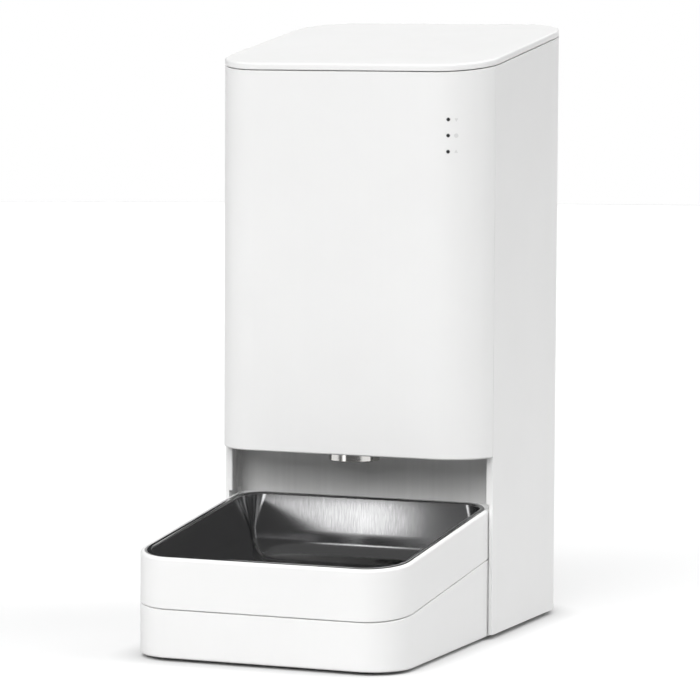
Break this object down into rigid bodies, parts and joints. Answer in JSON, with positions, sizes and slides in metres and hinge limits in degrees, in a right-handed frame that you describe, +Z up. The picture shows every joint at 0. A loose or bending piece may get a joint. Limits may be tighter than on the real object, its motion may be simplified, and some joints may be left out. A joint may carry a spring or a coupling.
{
  "type": "automatic pet feeder",
  "caption": "Tower feeder for dry pet food: lift-out bin with a geared portion wheel above a tilted steel bowl in a docking base.",
  "frame": {"origin": "centre of the footprint's bounding box, on the ground", "axes": "+Z up, front (the bowl) towards -Y, +X to the right seen from the front"},
  "size_m": [0.168, 0.274, 0.353],
  "materials": {
    "white_plastic": "satin, fine moulded texture",
    "inner_plastic": "satin",
    "bin_plastic": "smooth, slightly translucent look",
    "wheel_plastic": "satin",
    "gear_plastic": "satin acetal",
    "dark_plastic": "satin",
    "bowl_steel": "brushed",
    "bright_metal": "machined",
    "brass": "machined",
    "board_green": "solder mask",
    "soft_rubber": "soft",
    "seal_rubber": "soft",
    "desiccant": "woven sachet"
  },
  "bodies": {
    "tower": {"outer_shell": "white_plastic", "front_cover": "white_plastic", "recess_panel": "inner_plastic", "outlet_floor": "inner_plastic", "bottom_plate": "inner_plastic", "chassis": "inner_plastic", "top_frame": "inner_plastic", "gearbox": "bright_metal", "motor": "bright_metal", "gear_cover": "inner_plastic", "food_chute": "inner_plastic", "outlet_spout": "bright_metal", "outlet_sensors": "board_green", "main_board": "board_green", "board_parts": "dark_plastic", "led_board": "board_green", "indicator_lenses": "dark_plastic", "power_jack": "dark_plastic", "button_switch": "dark_plastic", "battery_box": "inner_plastic", "battery_springs": "bright_metal", "battery_plates": "bright_metal", "tower_feet": "soft_rubber", "case_screws": "bright_metal", "deck_screws": "bright_metal", "drive_screws": "bright_metal", "board_screws": "bright_metal", "wire_harness": "dark_plastic"},
    "bin": {"food_bin": "bin_plastic", "wheel_housing": "bin_plastic", "flow_baffle": "inner_plastic"},
    "wheel": {"portion_wheel": "wheel_plastic", "wheel_wipers": "soft_rubber", "stirrer": "wheel_plastic"},
    "lid": {"lid": "white_plastic", "lid_seal": "seal_rubber", "desiccant_box": "inner_plastic", "desiccant_pack": "desiccant"},
    "dry_cover": {"desiccant_cover": "inner_plastic"},
    "gear": {"drive_gear": "gear_plastic"},
    "pinion": {"motor_pinion": "brass", "motor_shaft": "bright_metal"},
    "button": {"feed_button": "white_plastic"},
    "door": {"battery_door": "inner_plastic"},
    "base": {"bowl_base": "white_plastic", "bowl_holder": "white_plastic", "base_feet": "soft_rubber"},
    "bowl": {"steel_bowl": "bowl_steel"}
  },
  "joints": [
    {"name": "bin_lift", "type": "slide", "parent": "tower", "child": "bin", "axis": [0, 0, 1], "range_m": [0, 0.2]},
    {"name": "lid_lift", "type": "slide", "parent": "bin", "child": "lid", "axis": [0, 0, 1], "range_m": [0, 0.08]},
    {"name": "desiccant_cover_turn", "type": "hinge", "parent": "lid", "child": "dry_cover", "pos_m": [0, 0.06, 0.33784], "axis": [0, -0.1461, 0.9893], "range_deg": [0, 30]},
    {"name": "wheel_spin", "type": "hinge", "parent": "bin", "child": "wheel", "pos_m": [0, 0.055, 0.14], "axis": [0, 0, 1], "continuous": true},
    {"name": "gear_spin", "type": "hinge", "parent": "tower", "child": "gear", "pos_m": [0, 0.055, 0.124], "axis": [0, 0, 1], "continuous": true},
    {"name": "pinion_spin", "type": "hinge", "parent": "tower", "child": "pinion", "pos_m": [0, 0.085, 0.124], "axis": [0, 0, 1], "continuous": true},
    {"name": "button_press", "type": "slide", "parent": "tower", "child": "button", "axis": [0, -1, 0], "range_m": [0, 0.001], "stiffness_N_per_m": 500, "springref_m": -0.002},
    {"name": "door_release", "type": "slide", "parent": "tower", "child": "door", "axis": [0, 0, -1], "range_m": [0, 0.03]},
    {"name": "base_pull", "type": "slide", "parent": "tower", "child": "base", "axis": [0, -1, 0], "range_m": [0, 0.1]},
    {"name": "bowl_lift", "type": "slide", "parent": "base", "child": "bowl", "axis": [0, 0, 1], "range_m": [0, 0.022]}
  ],
  "couplings": [
    {"joint": "gear_spin", "follows": "wheel_spin", "ratio": 1},
    {"joint": "pinion_spin", "follows": "wheel_spin", "ratio": -2.3333}
  ]
}
